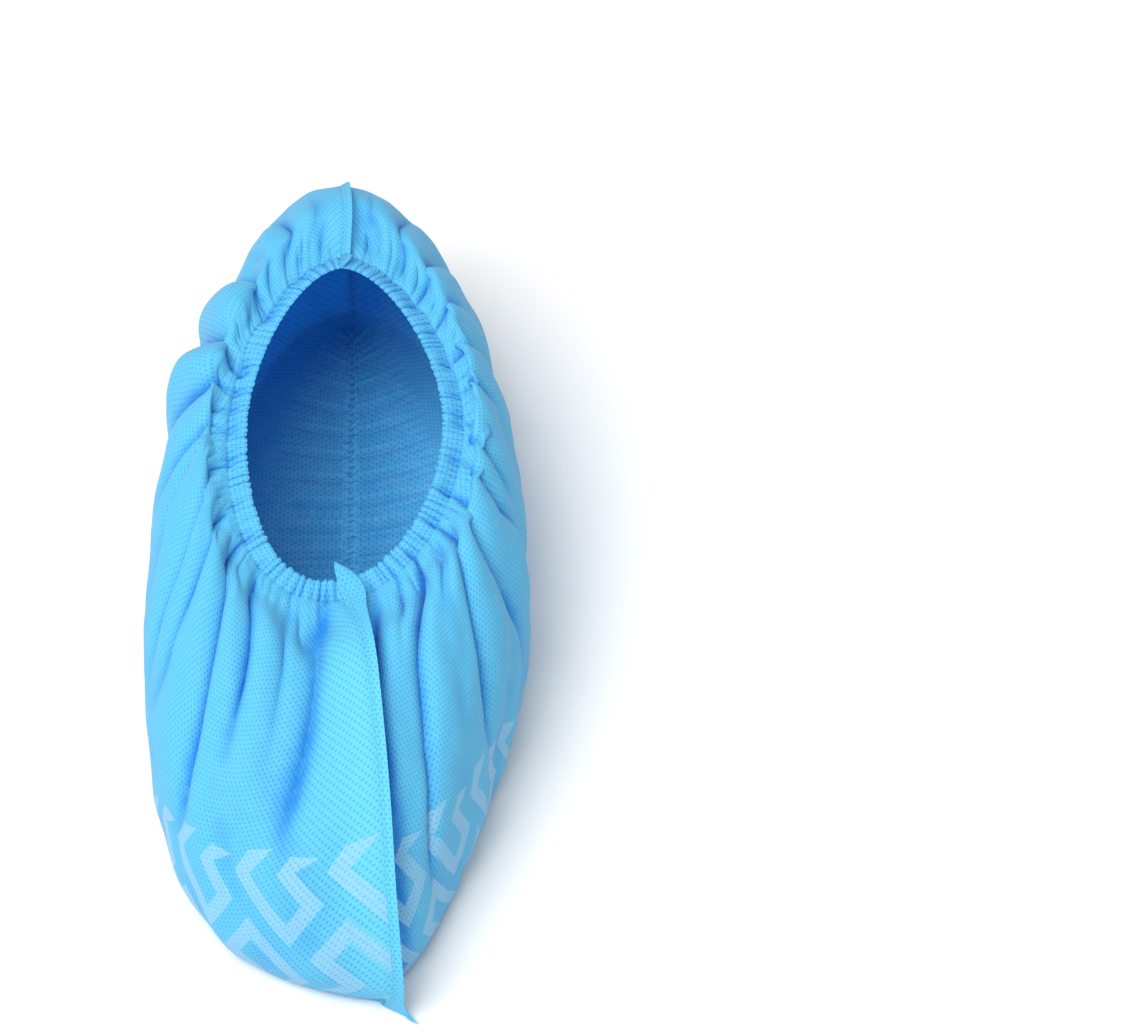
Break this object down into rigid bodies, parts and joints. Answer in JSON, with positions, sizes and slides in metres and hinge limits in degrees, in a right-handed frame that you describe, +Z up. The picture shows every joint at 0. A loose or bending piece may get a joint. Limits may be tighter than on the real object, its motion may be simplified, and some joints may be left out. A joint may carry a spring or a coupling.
{
  "type": "disposable shoe cover",
  "caption": "Gathered nonwoven pouch that slips over a shoe to keep floors clean, with an elastic mouth hem, an elastic sole seam and welded toe and heel seams.",
  "frame": {"origin": "on the floor under the middle of the cover's box", "axes": "+Y from the toe to the heel, +Z up out of the mouth, +X to the side that the toe seam leans to"},
  "size_m": [0.1254, 0.3208, 0.093],
  "materials": {
    "nonwoven": "embossed spunbond polypropylene, soft and slightly translucent, with a pale rubbery tread print on the sole",
    "hem": "finely gathered double layer over a hidden elastic thread",
    "weld": "two layers pressed together by a dotted heat weld",
    "sole_elastic": "tightly gathered strip with a hidden elastic thread"
  },
  "bodies": {
    "root": {"body": "nonwoven", "mouth_hem": "hem", "toe_seam": "weld", "heel_seam": "weld", "sole_seam": "sole_elastic"}
  },
  "joints": []
}
